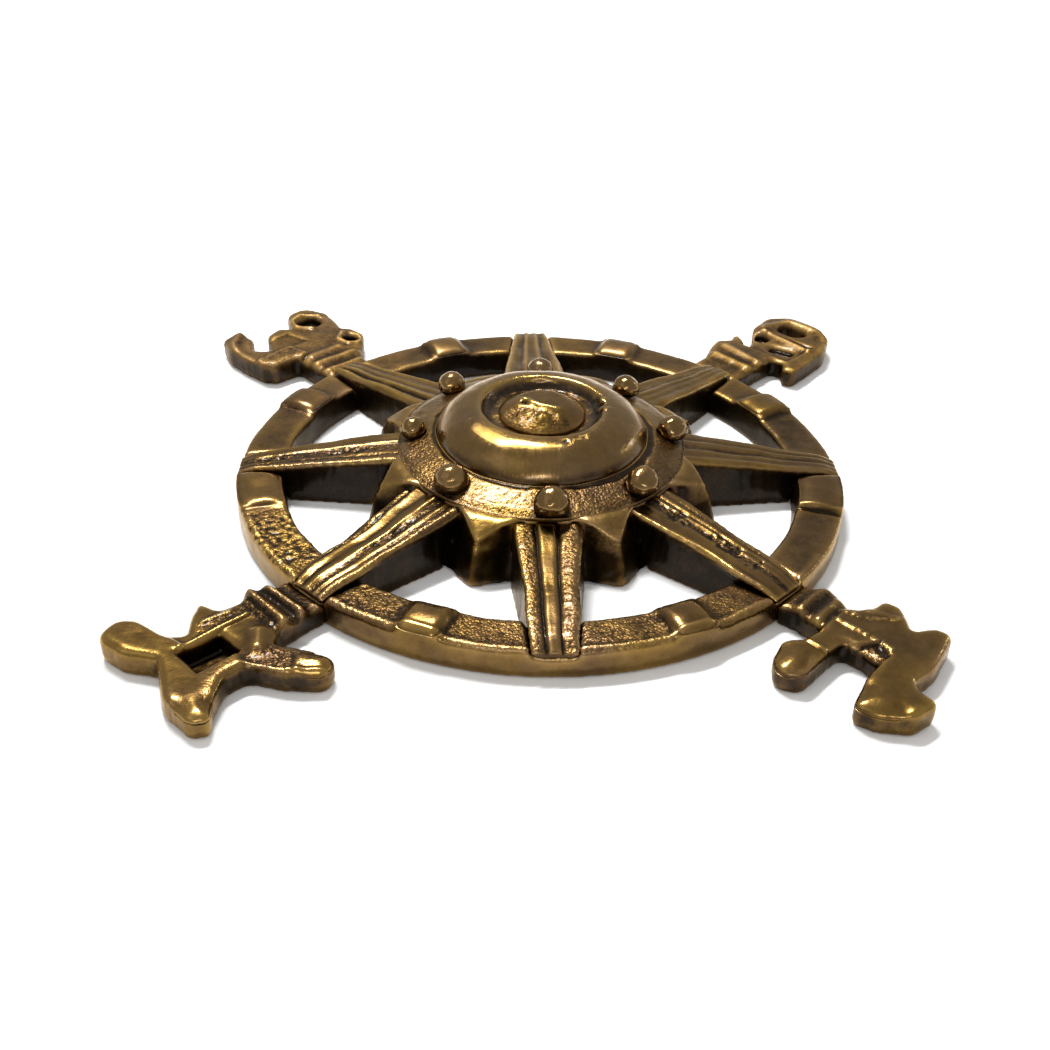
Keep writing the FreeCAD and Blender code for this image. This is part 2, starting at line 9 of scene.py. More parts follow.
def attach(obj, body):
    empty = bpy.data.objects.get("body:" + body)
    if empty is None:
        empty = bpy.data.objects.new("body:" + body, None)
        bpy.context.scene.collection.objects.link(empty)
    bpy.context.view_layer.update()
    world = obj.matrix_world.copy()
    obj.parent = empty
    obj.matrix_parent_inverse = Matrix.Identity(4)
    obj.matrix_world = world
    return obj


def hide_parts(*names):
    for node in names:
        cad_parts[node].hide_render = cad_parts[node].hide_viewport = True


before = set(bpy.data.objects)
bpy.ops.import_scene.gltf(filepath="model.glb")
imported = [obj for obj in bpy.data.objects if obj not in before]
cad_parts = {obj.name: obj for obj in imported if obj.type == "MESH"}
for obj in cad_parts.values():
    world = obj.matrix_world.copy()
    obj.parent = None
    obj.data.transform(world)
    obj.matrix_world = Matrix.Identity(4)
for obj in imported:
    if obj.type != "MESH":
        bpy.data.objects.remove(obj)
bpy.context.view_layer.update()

# Lengths inside the sculpting code are millimetres; meshes and lights are in metres.
MM = 0.001

# Camera: its place, its axes (right, up, back) and its lens, in the row frame.
CAMERA_PLACE = Vector((-0.01433, -0.24104, 0.15049))
CAMERA_RIGHT = Vector((0.99919, -0.03138, 0.02525))
CAMERA_UP = Vector((-0.00377, 0.55134, 0.83427))
CAMERA_BACK = Vector((-0.04010, -0.83369, 0.55078))
CAMERA_LENS = 48.08
CAMERA_SENSOR = 36.0
CAMERA_CLIP_START = 0.01

# Sizes shared with the CAD part, in millimetres.
RIM_OUTER = 60.0
RIM_INNER = 51.2
RIM_MIDDLE = 55.6
RIM_TOP = 5.6
SPOKE_START = 28.1
SPOKE_LENGTH = 31.9
SPOKE_START_TOP = 10.4
SPOKE_END_TOP = 6.3
SPOKE_START_HALF = 5.8
SPOKE_END_HALF = 3.0
FLUTE_DEPTH = 0.75
FINIAL_TOP = 4.4
# Rivets: angle and distance from the centre, head radius.
RIVETS = (
    (271.6, 26.3, 3.5), (313.4, 26.3, 3.3), (2.4, 26.2, 3.1), (45.4, 26.3, 2.9),
    (88.4, 26.3, 2.9), (133.0, 26.4, 3.0), (178.6, 25.4, 2.6), (226.2, 25.4, 3.3),
)
SPOKES = {
    "spoke_front": 270.0,
    "spoke_front_right": 315.0,
    "spoke_right": 0.0,
    "spoke_back_right": 45.0,
    "spoke_back": 90.0,
    "spoke_back_left": 135.0,
    "spoke_left": 180.0,
    "spoke_front_left": 225.0,
}
# Angles between neighbouring spokes and from a spoke to a point of the hub's star.
SPOKE_PITCH = 45.0
HALF_PITCH = 22.5

# Smooth stretches of the rim: middle angle and half angle, in degrees.
RIM_SMOOTH = (
    (190.0, 8.0), (351.0, 9.5), (247.2, 4.2), (294.4, 4.3),
    (27.0, 5.0), (69.0, 5.0), (111.0, 5.0), (152.0, 4.5),
)
# Creases and steps across the rim: angle, rise and width.
RIM_MARKS = ((342.6, -0.35, 0.35), (344.0, 0.30, 0.5), (197.5, 0.10, 0.5))
DEGREES_PER_RADIAN = 57.3
# Pits on the dome's front: place, depth and width.
DOME_PITS = ((3.8, -13.8, 0.30, 0.42), (7.4, -12.2, 0.16, 0.4))

# Each spoke: heights across its top from -1 to 1, rough bands (from, to, strength), and
# how much wider than plain its two sides stand, in millimetres.
PLAIN_RIBS = (
    (-1.0, -0.5), (-0.9, -0.1), (-0.72, 0.0), (-0.42, -0.15), (-0.32, -0.6), (-0.22, 0.05),
    (0.22, 0.05), (0.32, -0.6), (0.42, -0.15), (0.72, 0.0), (0.9, -0.1), (1.0, -0.5),
)
SPOKE_SKINS = {
    "spoke_front": (PLAIN_RIBS, ((-0.95, -0.4, 0.8), (0.4, 0.95, 0.8)), (0.5, 0.7)),
    "spoke_front_left": (
        ((-1.0, -1.5), (-0.88, -1.0), (-0.7, -1.2), (-0.64, -0.1), (-0.5, -0.3),
         (-0.32, -0.42), (-0.12, -0.1), (-0.04, 0.1), (0.05, -0.3), (0.3, -0.3),
         (0.42, -0.02), (0.48, 0.05), (0.6, -0.2), (0.85, 0.0), (1.0, -0.5)),
        ((-1.0, -0.68, 0.8), (0.06, 0.36, 0.9), (0.58, 1.0, 0.8)), (2.7, 0.2)),
    "spoke_left": (
        ((-1.0, -0.5), (-0.85, -0.1), (-0.4, -0.15), (-0.3, 0.05), (-0.2, -0.3), (0.25, -0.3),
         (0.4, -0.05), (0.55, -0.3), (0.75, 0.0), (0.9, 0.0), (1.0, -0.45)),
        ((-0.2, 0.36, 1.0), (0.45, 1.0, 0.8)), (0.0, 0.2)),
    "spoke_front_right": (
        ((-1.0, -0.4), (-0.88, 0.1), (-0.74, -0.15), (-0.3, -0.1), (-0.1, -0.35), (0.12, -0.3),
         (0.2, 0.0), (0.32, -0.25), (0.48, 0.0), (0.6, -0.2), (0.8, -0.05), (1.0, -0.5)),
        ((-0.14, 0.14, 0.9), (0.5, 0.95, 0.35)), (0.3, 0.3)),
    "spoke_right": (
        ((-1.0, -0.35), (-0.8, 0.05), (-0.62, -0.12), (-0.3, 0.0), (-0.1, -0.25), (0.1, 0.0),
         (0.3, 0.05), (0.42, -0.2), (0.6, 0.0), (0.85, -0.1), (1.0, -0.5)),
        ((-0.2, 0.1, 0.35),), (0.4, 0.4)),
    "spoke_back_right": (
        ((-1.0, -0.4), (-0.8, -0.05), (-0.5, -0.1), (-0.3, 0.0), (-0.1, -0.05), (0.1, 0.1),
         (0.25, -0.15), (0.6, -0.1), (0.8, 0.0), (1.0, -0.5)),
        ((0.0, 0.3, 0.6),), (0.4, 0.6)),
    "spoke_back": (
        ((-1.0, -0.5), (-0.85, 0.0), (-0.6, -0.3), (-0.4, -0.3), (-0.28, 0.1), (-0.1, -0.1),
         (0.1, -0.1), (0.25, 0.1), (0.38, -0.35), (0.6, -0.3), (0.82, 0.0), (1.0, -0.5)),
        (), (1.5, 1.5)),
    "spoke_back_left": (
        ((-1.0, -0.5), (-0.8, 0.0), (-0.5, -0.2), (-0.2, 0.0), (0.0, -0.15), (0.25, 0.1),
         (0.42, -0.5), (0.55, -0.45), (0.72, 0.15), (0.9, 0.05), (1.0, -0.4)),
        ((-0.9, -0.4, 0.25),), (0.5, 0.3)),
}
# Pitted patches on the spokes: from and to along the spoke, from and to across it.
SPOKE_PITS = {
    315.0: ((33.0, 37.0, -0.35, 0.3), (42.0, 53.0, -0.3, 0.4)),
    225.0: ((36.0, 46.0, 0.1, 0.35),),
    180.0: ((33.0, 56.0, -0.1, 0.25),),
}

# Finials, in (distance from the rim's centre, offset across), millimetres. Areas rise by
# a height; strokes are ridges (path, width, rise); rough areas have their own skin (area,
# strength); beads are rough ridges; shiny paths (path, width) are smooth; worn tips are
# spots (along, across, reach) rounded more than the rest. Skin, wall and matt are the
# shares of rough skin on top, of painted shade on the walls and of dullness.
FINIAL_DESIGNS = {
    "finial_front_left": {
        "angle": 225.0,
        "skin": 0.06,
        "wall": 0.45,
        "areas": [
            ([(93.0, -18.0), (86.0, -18.0), (84.6, -9.0), (83.6, -4.0), (86.5, 4.3), (78.6, 4.4),
              (80.0, 8.4), (84.0, 9.6), (94.0, 18.0), (98.0, 12.0), (97.0, -8.0)], 0.5),
            ([(72.0, 11.7), (67.0, 15.0), (66.0, 21.0), (74.0, 20.0), (76.5, 15.9)], 0.35),
        ],
        "strokes": [
            ([(84.4, -3.2), (70.8, -3.0)], 0.45, 0.55),
            ([(77.6, -6.2), (72.5, -5.6)], 0.4, 0.4),
            ([(79.2, 7.2), (76.4, 12.6), (71.1, 17.9)], 0.5, 0.45),
            ([(72.6, 2.6), (75.2, 5.6)], 1.6, 0.95),
            ([(67.2, -7.8), (68.0, 3.4)], 1.2, 1.3),
            ([(64.0, -6.4), (64.2, 5.0)], 0.9, 1.2),
            ([(69.2, -6.0), (69.8, 2.0)], 0.5, 0.3),
        ],
        "rough": [
            ([(78.0, 5.0), (69.7, 8.0), (69.0, 15.2), (77.7, 13.6), (80.0, 8.5)], 0.9),
            ([(78.0, -6.4), (69.0, -7.5), (70.3, -2.5), (82.4, -3.2)], 0.8),
            ([(70.0, -8.0), (57.0, -7.0), (57.0, 7.0), (71.0, 7.0)], 1.0),
            ([(84.5, 4.5), (80.0, 5.0), (82.0, 9.0), (90.0, 13.0), (91.0, 11.0)], 0.35),
        ],
        "beads": [[(79.0, 8.4), (88.5, 12.0)]],
        "shiny": [([(72.6, 2.6), (75.2, 5.6)], 1.7), ([(67.0, 20.0), (74.0, 16.0)], 2.6)],
        "worn": [(92.5, 12.0, 5.0), (70.0, 17.0, 4.5)],
    },
    "finial_front_right": {
        "angle": 315.0,
        "skin": 0.05,
        "wall": 0.62,
        "areas": [
            ([(69.5, -22.0), (66.5, -12.0), (69.5, -6.0), (69.5, 3.2), (73.0, 12.5),
              (80.0, 10.0), (90.0, 13.0), (98.0, -8.0), (92.0, -20.0), (80.0, -22.0)], 0.5),
            ([(75.6, -5.0), (79.0, -0.6), (82.0, -2.7), (81.6, -8.0)], -0.7),
        ],
        "strokes": [
            ([(69.7, -9.1), (73.9, -9.2)], 0.3, 0.4),
            ([(63.6, 5.4), (63.8, -2.6)], 1.2, 0.7),
            ([(67.2, 4.4), (67.6, -2.4)], 0.9, 0.5),
            ([(72.5, 5.6), (77.5, 7.4)], 0.5, 0.2),
        ],
        "rough": [
            ([(75.0, -5.8), (78.6, -0.2), (82.2, -2.7), (81.3, -7.2)], 0.95),
            ([(58.0, -7.0), (58.0, 9.0), (66.4, 9.0), (66.4, -7.0)], 0.8),
        ],
        "worn": [(69.5, -16.0, 4.5), (86.5, -15.0, 5.5)],
        "beads": [
            [(69.3, -0.2), (81.2, -1.0)], [(67.6, 2.4), (72.4, 2.9)], [(74.0, 3.8), (78.0, 7.0)],
        ],
    },
    "finial_back_right": {
        "angle": 45.0,
        "skin": 0.3,
        "wall": 0.6,
        "areas": [([(77.0, -7.0), (77.0, 6.5), (86.5, 5.0), (87.0, -7.5)], -0.45)],
        "matt": 0.4,
        "strokes": [
            ([(88.0, 7.2), (94.6, 4.6), (95.6, -3.4), (91.6, -8.6), (84.3, -11.4),
              (75.0, -11.6)], 1.3, 0.6),
            ([(86.2, 6.0), (84.8, -7.4)], 0.9, 0.7),
            ([(67.6, 6.4), (66.6, -5.6)], 1.2, 0.8),
            ([(72.8, 7.6), (70.8, -5.2)], 1.1, 0.7),
        ],
        "rough": [([(58.0, -7.0), (58.0, 7.0), (66.0, 7.0), (66.0, -7.0)], 0.4)],
        "beads": [],
    },
    "finial_back_left": {
        "angle": 135.0,
        "skin": 0.35,
        "wall": 0.6,
        "areas": [
            ([(78.0, -4.0), (78.0, 6.0), (84.0, 4.0), (84.0, -3.0)], -0.3),
            ([(77.6, 1.2), (71.8, 0.8), (68.5, 13.0), (69.0, 17.0), (76.6, 16.0)], 0.9),
        ],
        "matt": 0.4,
        "strokes": [
            ([(91.2, 5.4), (88.0, 9.8), (84.0, 12.0), (74.0, 12.2)], 1.2, 0.6),
            ([(86.6, -14.2), (89.4, -11.4), (88.6, -8.2), (85.4, -6.9), (82.0, -8.6)], 0.8, 0.6),
            ([(75.4, -12.6), (73.4, -9.6), (70.2, -10.2), (69.4, -13.4)], 0.7, 0.6),
            ([(66.6, 2.4), (65.8, -7.6)], 1.3, 0.9),
            ([(62.8, 4.4), (62.0, -5.9)], 1.0, 0.6),
            ([(70.6, 0.8), (70.4, -7.0)], 1.2, 0.5),
        ],
        "rough": [
            ([(58.0, -7.0), (58.0, 7.0), (64.0, 7.0), (64.0, -7.0)], 0.5),
            ([(77.6, 1.2), (71.8, 0.8), (70.0, 12.0), (77.0, 12.0)], 0.9),
        ],
        "beads": [],
    },
}

# Colour along the scale of wear and painted light, as shares of a tint: painted shade,
# brown, skin, worn, worn edges with painted highlight.
BRASS_STOPS = (
    (0.0, (0.05, 0.05, 0.06)),
    (0.22, (0.16, 0.14, 0.14)),
    (0.45, (0.62, 0.58, 0.52)),
    (0.68, (1.0, 0.98, 0.92)),
    (1.0, (1.75, 1.8, 1.85)),
)
TINT = (0.190, 0.112, 0.026)
BROWN = (0.152, 0.090, 0.040)
EDGE_TINT = (1.0, 0.86, 0.68, 1.0)
COAT_ROUGHNESS = 0.16
COAT_IOR = 1.45
BUMP_DISTANCE = 0.00028
BUMP_STRENGTH = 0.6
# How far each mask and texture moves the scale of wear, painted shade and painted highlight,
# around its plain level.
PLAIN_LEVEL = 0.44
FINE_WEAR_AND_SHADE_SHARE, BROAD_LIGHT_AND_SHADE_SHARE, WEAR_AND_HIGHLIGHT_SHARE, PAINTED_SHADE_SHARE = 0.60, 0.6, 0.30, -0.46
BLOTCH_SHARE, RIPPLE_SHARE, CAST_SHARE, GRAIN_SHARE = 0.5, 0.35, -0.06, 0.24

# Lamps: name, azimuth (0 is the front), elevation, distance, width, height, power, colour.
WHITE = (1.0, 1.0, 1.0)
LAMPS = (
    ("top_box", 205.0, 65.0, 0.9, 0.34, 0.08, 10.6, WHITE),
    ("front_strip", -6.0, 29.0, 1.0, 0.40, 0.04, 1.6, WHITE),
    ("right_window", 116.0, 15.0, 0.9, 0.04, 0.06, 0.3, (0.85, 0.92, 1.0)),
    ("left_box", -60.0, 50.0, 1.0, 0.5, 0.5, 0.42, WHITE),
)
SKY_COLOUR = (1.0, 0.98, 0.95, 1.0)
SKY_STRENGTH = 0.58
FLOOR_REACH = 3.0
FLOOR_DROP = 0.0001
FLOOR_COLOUR = (0.9, 0.9, 0.9, 1.0)


# ---------------------------------------------------------------- fields

def hashed(ix, iy, iz, seed):
    """Repeatable random share from 0 to 1 for each whole-number cell."""
    h = (ix * 374761393 + iy * 668265263 + iz * 1442695041 + seed * 974634777) & 0xFFFFFFFF
    h = ((h ^ (h >> 13)) * 1274126177) & 0xFFFFFFFF
    return ((h ^ (h >> 16)) & 0xFFFF) / 65535.0


def noise(p, size, seed):
    """Smooth random field from -1 to 1 with features about size millimetres across."""
    q = p / np.asarray(size, float)
    cell = np.floor(q).astype(np.int64)
    f = q - cell
    f = f * f * (3.0 - 2.0 * f)
    total = np.zeros(len(p))
    for dx in (0, 1):
        wx = f[:, 0] if dx else 1.0 - f[:, 0]
        for dy in (0, 1):
            wy = f[:, 1] if dy else 1.0 - f[:, 1]
            for dz in (0, 1):
                wz = f[:, 2] if dz else 1.0 - f[:, 2]
                corner = hashed(cell[:, 0] + dx, cell[:, 1] + dy, cell[:, 2] + dz, seed)
                total += wx * wy * wz * corner
    return 2.0 * total - 1.0


def wave(values, size, seed, other=None):
    """Noise along one value, or over two."""
    flat = values * 0.0
    return noise(np.column_stack([values, flat if other is None else other, flat]), size, seed)


def layered(p, size, seed, octaves=3):
    """Noise with finer and weaker noise on top."""
    total = np.zeros(len(p))
    share = 1.0
    for octave in range(octaves):
        total += share * noise(p, np.asarray(size, float) / 2.0 ** octave, seed + octave)
        share *= 0.5
    return total / (2.0 - 2.0 * share)


def pebbles(p, size, seed):
    """Rounded grains about size millimetres across: 1 on a grain's crown, 0 between."""
    q = p / size
    cell = np.floor(q).astype(np.int64)
    nearest = np.full(len(p), 9.0)
    for dx in (-1, 0, 1):
        for dy in (-1, 0, 1):
            for dz in (-1, 0, 1):
                cx, cy, cz = cell[:, 0] + dx, cell[:, 1] + dy, cell[:, 2] + dz
                fx = cx + hashed(cx, cy, cz, seed)
                fy = cy + hashed(cx, cy, cz, seed + 71)
                fz = cz + hashed(cx, cy, cz, seed + 143)
                away = (q[:, 0] - fx) ** 2 + (q[:, 1] - fy) ** 2 + (q[:, 2] - fz) ** 2
                nearest = np.minimum(nearest, away)
    return np.clip(1.0 - nearest / 0.62, 0.0, 1.0)


def step(value, low, high):
    """Smooth rise from 0 at low to 1 at high."""
    t = np.clip((value - low) / (high - low), 0.0, 1.0)
    return t * t * (3.0 - 2.0 * t)


def band(value, low, high, soft):
    """1 from low to high and 0 outside, with soft ends."""
    return step(value, low - soft, low + soft) * step(-value, -high - soft, -high + soft)


def bell(value, middle, width):
    """1 at the middle, falling to 0 on both sides."""
    return np.exp(-((value - middle) / width) ** 2)


def clipped(value):
    return np.clip(value, 0.0, 1.0)


def turned(p, degrees):
    """Points turned about Z so that a direction at that angle comes to lie along +X."""
    a = math.radians(degrees)
    x = p[:, 0] * math.cos(a) + p[:, 1] * math.sin(a)
    y = -p[:, 0] * math.sin(a) + p[:, 1] * math.cos(a)
    return np.column_stack([x, y, p[:, 2]])


def polar(p):
    """Distance from the centre and angle in degrees."""
    radius = np.hypot(p[:, 0], p[:, 1])
    angle = np.degrees(np.arctan2(p[:, 1], p[:, 0])) % 360.0
    return radius, angle


def arc_gap(angle, middle):
    """Signed difference between two angles, from -180 to 180 degrees."""
    return (angle - middle + 180.0) % 360.0 - 180.0


# ---------------------------------------------------------------- meshes

def dense_mesh(node, voxel, cap=None):
    """A fresh even mesh of a CAD node's shape, which stays as it is. A cap trims its top."""
    scratch = bpy.data.objects.new("scratch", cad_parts[node].data.copy())
    bpy.context.scene.collection.objects.link(scratch)
    welded = bmesh.new()
    welded.from_mesh(scratch.data)
    bmesh.ops.remove_doubles(welded, verts=welded.verts, dist=1e-6)
    welded.to_mesh(scratch.data)
    welded.free()
    if cap:
        points = read_points(scratch.data)
        points[:, 2] = cap(points)
        write_points(scratch.data, points)
    remesh = scratch.modifiers.new("dense", "REMESH")
    remesh.mode = "VOXEL"
    remesh.voxel_size = voxel * MM
    shaped = scratch.evaluated_get(bpy.context.evaluated_depsgraph_get())
    made = bpy.data.meshes.new_from_object(shaped)
    bpy.data.objects.remove(scratch)
    return made


def read_points(mesh):
    co = np.zeros(len(mesh.vertices) * 3)
    mesh.vertices.foreach_get("co", co)
    return co.reshape(-1, 3) / MM


def write_points(mesh, points):
    mesh.vertices.foreach_set("co", (points * MM).ravel())
    mesh.update()


def read_normals(mesh):
    normals = np.zeros(len(mesh.vertices) * 3, np.float32)
    mesh.vertex_normals.foreach_get("vector", normals)
    return normals.reshape(-1, 3).astype(float)


def read_edges(mesh):
    edges = np.zeros(len(mesh.edges) * 2, np.int32)
    mesh.edges.foreach_get("vertices", edges)
    return edges.reshape(-1, 2)


def relax(points, edges, rounds, strength=0.5):
    """Evens out points with their neighbours' mean."""
    a, b = edges[:, 0], edges[:, 1]
    size = len(points)
    count = np.maximum(np.bincount(a, minlength=size) + np.bincount(b, minlength=size), 1)
    moved = points.copy()
    for _ in range(rounds):
        for axis in range(points.shape[1]):
            column = moved[:, axis]
            total = np.bincount(a, column[b], size) + np.bincount(b, column[a], size)
            moved[:, axis] = column + strength * (total / count - column)
    return moved


def attribute(mesh, name, values):
    made = mesh.attributes.new(name, "FLOAT", "POINT")
    made.data.foreach_set("value", values.astype(np.float32))


def relief(points, edges, rounds, normals, gain):
    """How far each point stands out of its surroundings, from -1 to 1."""
    proud = points - relax(points, edges, rounds)
    return np.clip(np.einsum("ij,ij->i", proud, normals) * gain, -1.0, 1.0)


def sculpt(node, voxel, soften, carve, material, cap=None):
    """Replaces a CAD node by a cast piece: its own shape, softened, carved and worn, with masks
    for painted shade and painted highlights.
    """
    mesh = dense_mesh(node, voxel, cap)
    edges = read_edges(mesh)
    points = relax(read_points(mesh), edges, soften)
    write_points(mesh, points)
    points, masks = carve(points, read_normals(mesh))
    points = relax(points + hand_made(points), edges, 1)
    points[:, 2] = np.maximum(points[:, 2], 0.0)
    write_points(mesh, points)
    normals = read_normals(mesh)
    # Small relief: worn raised edges with painted highlights, painted shade in small hollows.
    # Large relief: painted shade in hollows and painted light on raised forms.
    masks["fine_wear_and_shade"] = relief(points, edges, 5, normals, 6.0)
    masks["broad_light_and_shade"] = relief(points, edges, 40, normals, 1.4)
    masks["matt"] = masks.get("matt", 0.0) + 0.4 * step(points[:, 1], 5.0, 45.0)
    for name in ("cast", "painted_shade", "wear_and_highlight", "matt", "fine_wear_and_shade", "broad_light_and_shade"):
        attribute(mesh, name, masks[name])
    mesh.polygons.foreach_set("use_smooth", np.ones(len(mesh.polygons), bool))
    mesh.materials.clear()
    mesh.materials.append(material)
    piece = bpy.data.objects.new(node + "_cast", mesh)
    bpy.context.scene.collection.objects.link(piece)
    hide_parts(node)
    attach(piece, "root")


# ---------------------------------------------------------------- carving

def hand_made(p):
    """Slow wander of a hand-finished casting, the same for every piece so joints stay shut."""
    lift = step(p[:, 2], 0.3, 2.5)[:, None]
    wander = np.column_stack([layered(p, 5.5, 200 + 10 * axis, 2) for axis in range(3)])
    return 0.16 * lift * wander


def grain(p, seed, size):
    """Sand-cast skin in millimetres: grains on a slow swell."""
    return 0.10 * pebbles(p, size, seed) + 0.08 * layered(p, 2.2, seed + 9) - 0.07


def gap_to(flat, a, b):
    """Distance from points to the segment a-b."""
    dx, dy = b[0] - a[0], b[1] - a[1]
    t = ((flat[:, 0] - a[0]) * dx + (flat[:, 1] - a[1]) * dy) / (dx * dx + dy * dy)
    t = clipped(t)
    return np.hypot(flat[:, 0] - a[0] - t * dx, flat[:, 1] - a[1] - t * dy)


def inside(flat, corners, soft):
    """1 inside a polygon and 0 outside, with a soft border."""
    x, y = flat[:, 0], flat[:, 1]
    nearest = np.full(len(flat), 1e9)
    within = np.zeros(len(flat), bool)
    for (ax, ay), (bx, by) in zip(corners, corners[1:] + corners[:1]):
        nearest = np.minimum(nearest, gap_to(flat, (ax, ay), (bx, by)))
        crosses = (ay > y) != (by > y)
        height = by - ay if abs(by - ay) > 1e-9 else 1e-9
        within ^= crosses & (x < (bx - ax) * (y - ay) / height + ax)
    signed = np.where(within, nearest, -nearest)
    return step(signed, -soft, soft)


def stroke(flat, path, width):
    """Ridge or groove along a path: 1 on its line, falling to 0."""
    nearest = np.full(len(flat), 1e9)
    for a, b in zip(path, path[1:]):
        nearest = np.minimum(nearest, gap_to(flat, a, b))
    return bell(nearest, 0.0, width)


def wall_gap(p, n, low, reach):
    """Distance in plan from each point above low to the nearest wall, up to a reach."""
    walls = np.nonzero((n[:, 2] < 0.35) & (p[:, 2] > low * 0.6))[0]
    tree = kdtree.KDTree(len(walls))
    for index in walls:
        tree.insert((p[index, 0], p[index, 1], 0.0), int(index))
    tree.balance()
    gap = np.full(len(p), reach)
    for index in np.nonzero(p[:, 2] > low)[0]:
        gap[index] = min(reach, tree.find((p[index, 0], p[index, 1], 0.0))[2])
    return gap


def streaks(p, seed):
    """Upright marks down the walls, from -1 to 1."""
    return layered(np.column_stack([p[:, 0], p[:, 1], p[:, 2] * 0.18]), 1.6, seed)


def rivet_shade(p):
    """Painted shade around the rivet heads: 1 close around them, 0 away from them."""
    shade = np.zeros(len(p))
    for angle, radius, head in RIVETS:
        a = math.radians(angle)
        away = np.hypot(p[:, 0] - radius * math.cos(a), p[:, 1] - radius * math.sin(a))
        shade = np.maximum(shade, step(head + 0.8 - away, 0.0, 1.0))
    return shade


def carve_rim(p, n):
    """Rough skin with smooth stretches, a worn outer edge, creases and a field of lumps."""
    radius, angle = polar(p)
    top = step(n[:, 2], 0.45, 0.85)
    wall = 1.0 - top
    outside = step(radius, RIM_OUTER - 1.0, RIM_OUTER - 0.3) * wall
    inner = step(RIM_INNER + 0.9 - radius, 0.0, 1.0) * wall
    under = step(-n[:, 2], 0.4, 0.8)
    low = step(2.6 - p[:, 2], 0.0, 2.0)
    smooth = np.zeros(len(p))
    for middle, half in RIM_SMOOTH:
        stretch = step(half + 0.8 - np.abs(arc_gap(angle, middle)), 0.0, 1.6)
        smooth = np.maximum(smooth, stretch)
    front = step(np.abs(arc_gap(angle, 245.0)), 75.0, 55.0)
    rough = top * (1.0 - 0.9 * smooth) * (0.25 + 0.75 * front)
    knobs = top * step(11.0 - np.abs(arc_gap(angle, 209.0)), 0.0, 3.0)
    coarse = 1.0 + 1.2 * bell(arc_gap(angle, 232.0), 0.0, 9.0)
    lumps = pebbles(p, 1.05, 7)
    depth = rough * coarse * grain(p, 3, 0.85) + knobs * (0.34 * lumps - 0.14)
    edge = 58.9 + 0.25 * wave(angle, 6.0, 8)
    edge_reach = step(68.0 - np.abs(arc_gap(angle, 262.0)), 0.0, 15.0)
    depth += 0.30 * top * bell(radius, edge, 0.55) * edge_reach
    for middle, rise, width in RIM_MARKS:
        along = arc_gap(angle, middle) * radius / DEGREES_PER_RADIAN
        depth += rise * top * bell(along, 0.0, width)
    depth += 0.05 * layered(p, 4.0, 5)
    made = p + n * (depth * (1.0 - under))[:, None]
    saddle = step(p[:, 2], RIM_TOP + 0.3, RIM_TOP + 1.2)
    made[:, 2] -= 0.045 * (radius - RIM_MIDDLE) ** 2 * saddle
    # Painted shade: near black on the inner wall and more at its foot, a little on the outer wall,
    # and under overhangs.
    shade = np.maximum(0.82 * inner + 0.12 * outside, 0.6 * under) + 0.15 * inner * low
    tint = noise(p, 6.0, 15) * 0.2
    masks = {
        "cast": np.maximum(rough, 0.35 * inner) + 0.4 * knobs,
        # Painted shade in the gaps between the lumps.
        "painted_shade": clipped(shade + 0.6 * knobs * step(0.45 - lumps, 0.0, 0.35)),
        "wear_and_highlight": clipped(0.3 * outside + 0.15 * smooth * top + 0.10 * knobs + 0.25 * rough + tint),
    }
    return made, masks


def spoke_ceiling(radius):
    """Height of a spoke's top with its flutes taken off."""
    slope = SPOKE_END_TOP - SPOKE_START_TOP
    crest = SPOKE_START_TOP + slope * (radius - SPOKE_START) / (RIM_OUTER - SPOKE_START)
    return crest - FLUTE_DEPTH


def spoke_cap(angle):
    """Trims a spoke's fluted top to a plain one, ready for its own carving."""
    def cap(p):
        return np.minimum(p[:, 2], spoke_ceiling(turned(p, angle)[:, 0]))
    return cap


def shift_across(points, angle, amount):
    """Moves points sideways to a spoke, in place."""
    a = math.radians(angle)
    points[:, 0] -= amount * math.sin(a)
    points[:, 1] += amount * math.cos(a)


